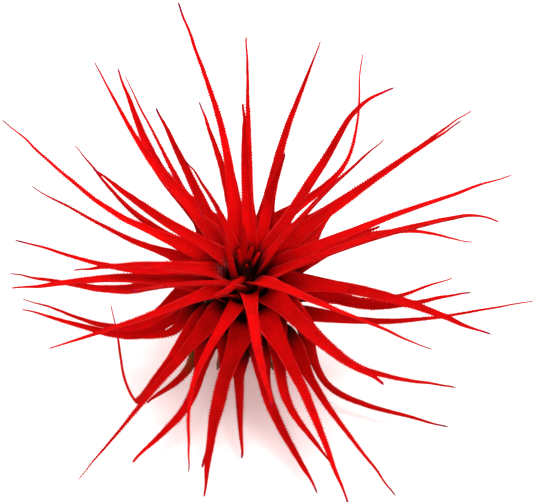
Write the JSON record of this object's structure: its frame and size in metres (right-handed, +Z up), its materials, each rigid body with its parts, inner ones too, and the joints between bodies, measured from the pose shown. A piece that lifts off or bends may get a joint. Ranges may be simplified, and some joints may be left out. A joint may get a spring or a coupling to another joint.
{
  "type": "air plant",
  "caption": "Red-dyed air plant: a rosette of narrow, channelled, tapering leaves that end in dry threads, round a tight heart, on a short leaning stem with a flat cut foot.",
  "frame": {"origin": "middle of the stem's flat cut foot, which the plant stands on, on the ground plane", "axes": "+Z up from the ground, -Y towards the viewer of the picture and the side that the rosette leans to by 15 degrees, +X to the viewer's right"},
  "size_m": [0.1195, 0.1046, 0.0696],
  "materials": {
    "leaf": "matte, velvety with fine scales, dyed red",
    "heart": "matte, velvety, dyed red",
    "stem": "matte, dry and fibrous"
  },
  "bodies": {
    "root": {"leaf_01": "leaf", "leaf_02": "leaf", "leaf_03": "leaf", "leaf_04": "leaf", "leaf_05": "leaf", "leaf_06": "leaf", "leaf_07": "leaf", "leaf_08": "leaf", "leaf_09": "leaf", "leaf_10": "leaf", "leaf_11": "leaf", "leaf_12": "leaf", "leaf_13": "leaf", "leaf_14": "leaf", "leaf_15": "leaf", "leaf_16": "leaf", "leaf_17": "leaf", "leaf_18": "leaf", "leaf_19": "leaf", "leaf_20": "leaf", "leaf_21": "leaf", "leaf_22": "leaf", "leaf_23": "leaf", "leaf_24": "leaf", "leaf_25": "leaf", "leaf_26": "leaf", "leaf_27": "leaf", "leaf_28": "leaf", "leaf_29": "leaf", "leaf_30": "leaf", "leaf_31": "leaf", "leaf_32": "leaf", "leaf_33": "leaf", "leaf_34": "leaf", "leaf_35": "leaf", "leaf_36": "leaf", "leaf_37": "leaf", "leaf_38": "leaf", "leaf_39": "leaf", "leaf_40": "leaf", "leaf_41": "leaf", "leaf_42": "leaf", "leaf_43": "leaf", "leaf_44": "leaf", "leaf_45": "leaf", "leaf_46": "leaf", "leaf_47": "leaf", "leaf_48": "leaf", "leaf_49": "leaf", "leaf_50": "leaf", "leaf_51": "leaf", "leaf_52": "leaf", "leaf_53": "leaf", "leaf_54": "leaf", "leaf_55": "leaf", "leaf_56": "leaf", "leaf_57": "leaf", "leaf_58": "leaf", "heart": "heart", "stem": "stem"}
  },
  "joints": []
}
